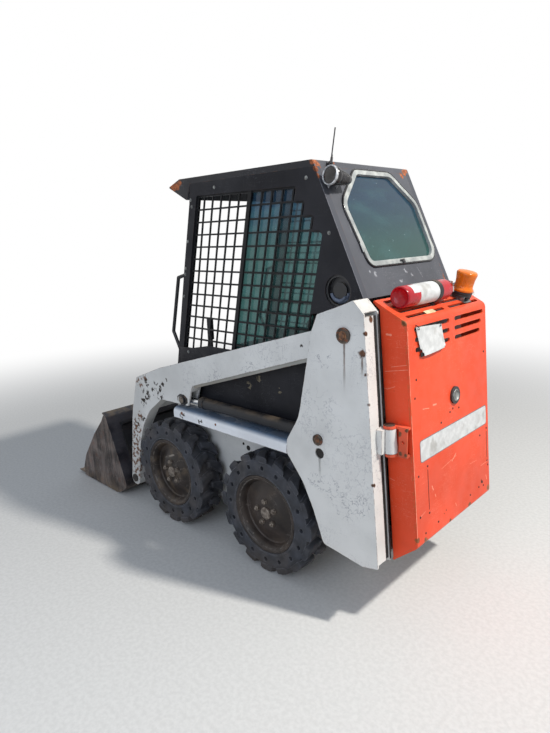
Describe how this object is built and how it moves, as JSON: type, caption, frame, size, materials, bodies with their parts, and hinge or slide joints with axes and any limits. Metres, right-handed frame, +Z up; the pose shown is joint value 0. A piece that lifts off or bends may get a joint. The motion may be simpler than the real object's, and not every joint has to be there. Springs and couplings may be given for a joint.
{
  "type": "compact skid steer loader",
  "caption": "Compact skid steer loader with a screened cab, lift arms, dirt bucket, solid tyres and a slotted rear door.",
  "frame": {"origin": "middle of the machine's box on the ground, halfway along and across it", "axes": "+X forward towards the bucket, +Y left, +Z up"},
  "size_m": [2.5242, 0.914, 1.9342],
  "materials": {
    "white_paint": "chalky, chipped paint",
    "cab_paint": "dark charcoal paint",
    "orange_paint": "faded orange-red paint",
    "dark_steel": "oily steel",
    "black_paint": "black paint",
    "chrome_rod": "polished",
    "worn_steel": "worn and rusty",
    "seal_rubber": "light grey rubber",
    "window_glass": "tinted",
    "black_plastic": "moulded",
    "seat_vinyl": "black vinyl",
    "red_paint": "gloss red",
    "amber_lens": "clear amber",
    "tyre_rubber": "dusty rubber",
    "rim_paint": "dark brown paint"
  },
  "bodies": {
    "chassis": {"chassis_tub": "white_paint", "uprights": "white_paint", "fenders": "white_paint", "engine_block": "black_paint", "axle_tubes": "white_paint", "frame_pins": "dark_steel", "control_levers": "dark_steel"},
    "cab": {"cab_roof": "cab_paint", "cab_sides": "cab_paint", "cab_rear_panel": "cab_paint", "cab_seat_panel": "cab_paint", "rear_window_seal": "seal_rubber", "rear_window_glass": "window_glass", "side_screens": "black_paint", "side_glass": "window_glass", "cab_vents": "black_plastic", "seat_cushion": "seat_vinyl", "seat_back": "seat_vinyl", "work_lamp": "black_plastic", "antenna": "dark_steel", "grab_handles": "cab_paint"},
    "seat_bar": {"seat_bar": "dark_steel"},
    "arms": {"lift_arms": "white_paint", "arm_cross_member": "white_paint"},
    "lift_barrel_left": {"lift_barrel_left": "black_paint"},
    "lift_barrel_right": {"lift_barrel_right": "black_paint"},
    "lift_rod_left": {"lift_rod_left": "chrome_rod"},
    "lift_rod_right": {"lift_rod_right": "chrome_rod"},
    "tilt_barrel": {"tilt_barrel": "black_paint"},
    "tilt_rod": {"tilt_rod": "chrome_rod"},
    "bucket": {"coupler_frame": "black_paint", "coupler_levers": "dark_steel", "bucket_shell": "worn_steel", "cutting_edge": "worn_steel"},
    "rear_door": {"door_shell": "orange_paint", "door_sides": "orange_paint", "door_hinge": "orange_paint", "door_latch": "dark_steel", "extinguisher": "red_paint", "extinguisher_strap": "dark_steel", "beacon_base": "black_plastic", "beacon_dome": "amber_lens"},
    "wheel_front_left": {"tyre_front_left": "tyre_rubber", "rim_front_left": "rim_paint"},
    "wheel_front_right": {"tyre_front_right": "tyre_rubber", "rim_front_right": "rim_paint"},
    "wheel_rear_left": {"tyre_rear_left": "tyre_rubber", "rim_rear_left": "rim_paint"},
    "wheel_rear_right": {"tyre_rear_right": "tyre_rubber", "rim_rear_right": "rim_paint"}
  },
  "joints": [
    {"name": "lift", "type": "hinge", "parent": "chassis", "child": "arms", "pos_m": [-1.0045, 0, 1.176], "axis": [0, -1, 0], "range_deg": [0, 73]},
    {"name": "tilt", "type": "hinge", "parent": "arms", "child": "bucket", "pos_m": [0.5665, 0, 0.15], "axis": [0, 1, 0], "range_deg": [-25, 112]},
    {"name": "cab_tilt", "type": "hinge", "parent": "chassis", "child": "cab", "pos_m": [-0.9855, 0, 1.26], "axis": [0, -1, 0], "range_deg": [0, 40]},
    {"name": "seat_bar_lift", "type": "hinge", "parent": "cab", "child": "seat_bar", "pos_m": [-0.6835, 0, 1.045], "axis": [0, -1, 0], "range_deg": [0, 75]},
    {"name": "rear_door_swing", "type": "hinge", "parent": "chassis", "child": "rear_door", "pos_m": [-1.1555, 0.358, 0.78], "axis": [-0.0695, 0, -0.9976], "range_deg": [0, 100]},
    {"name": "lift_cylinder_swing_left", "type": "hinge", "parent": "chassis", "child": "lift_barrel_left", "pos_m": [-0.8745, 0.397, 0.741], "axis": [0, -1, 0], "range_deg": [0, 66.28]},
    {"name": "lift_cylinder_stroke_left", "type": "slide", "parent": "lift_barrel_left", "child": "lift_rod_left", "axis": [1, 0, -0.0055], "range_m": [0, 0.5234]},
    {"name": "lift_cylinder_swing_right", "type": "hinge", "parent": "chassis", "child": "lift_barrel_right", "pos_m": [-0.8745, -0.397, 0.741], "axis": [0, -1, 0], "range_deg": [0, 66.28]},
    {"name": "lift_cylinder_stroke_right", "type": "slide", "parent": "lift_barrel_right", "child": "lift_rod_right", "axis": [1, 0, -0.0055], "range_m": [0, 0.5234]},
    {"name": "tilt_cylinder_swing", "type": "hinge", "parent": "arms", "child": "tilt_barrel", "pos_m": [0.3865, 0, 0.56], "axis": [0, 1, 0], "range_deg": [-1.05, 3.66]},
    {"name": "tilt_cylinder_stroke", "type": "slide", "parent": "tilt_barrel", "child": "tilt_rod", "axis": [0.5835, 0, -0.8121], "range_m": [-0.0439, 0.1861]},
    {"name": "wheel_front_left_spin", "type": "hinge", "parent": "chassis", "child": "wheel_front_left", "pos_m": [0.1965, 0.3635, 0.29], "axis": [0, 1, 0], "continuous": true},
    {"name": "wheel_front_right_spin", "type": "hinge", "parent": "chassis", "child": "wheel_front_right", "pos_m": [0.1965, -0.3635, 0.29], "axis": [0, 1, 0], "continuous": true},
    {"name": "wheel_rear_left_spin", "type": "hinge", "parent": "chassis", "child": "wheel_rear_left", "pos_m": [-0.5335, 0.3635, 0.29], "axis": [0, 1, 0], "continuous": true},
    {"name": "wheel_rear_right_spin", "type": "hinge", "parent": "chassis", "child": "wheel_rear_right", "pos_m": [-0.5335, -0.3635, 0.29], "axis": [0, 1, 0], "continuous": true}
  ],
  "couplings": [
    {"joint": "lift_cylinder_swing_left", "follows": "lift", "ratio": 0.90105},
    {"joint": "lift_cylinder_stroke_left", "follows": "lift", "m_per_rad": 0.40844},
    {"joint": "lift_cylinder_swing_right", "follows": "lift", "ratio": 0.90105},
    {"joint": "lift_cylinder_stroke_right", "follows": "lift", "m_per_rad": 0.40844},
    {"joint": "tilt_cylinder_swing", "follows": "tilt", "ratio": 0.03},
    {"joint": "tilt_cylinder_stroke", "follows": "tilt", "m_per_rad": 0.09365}
  ]
}
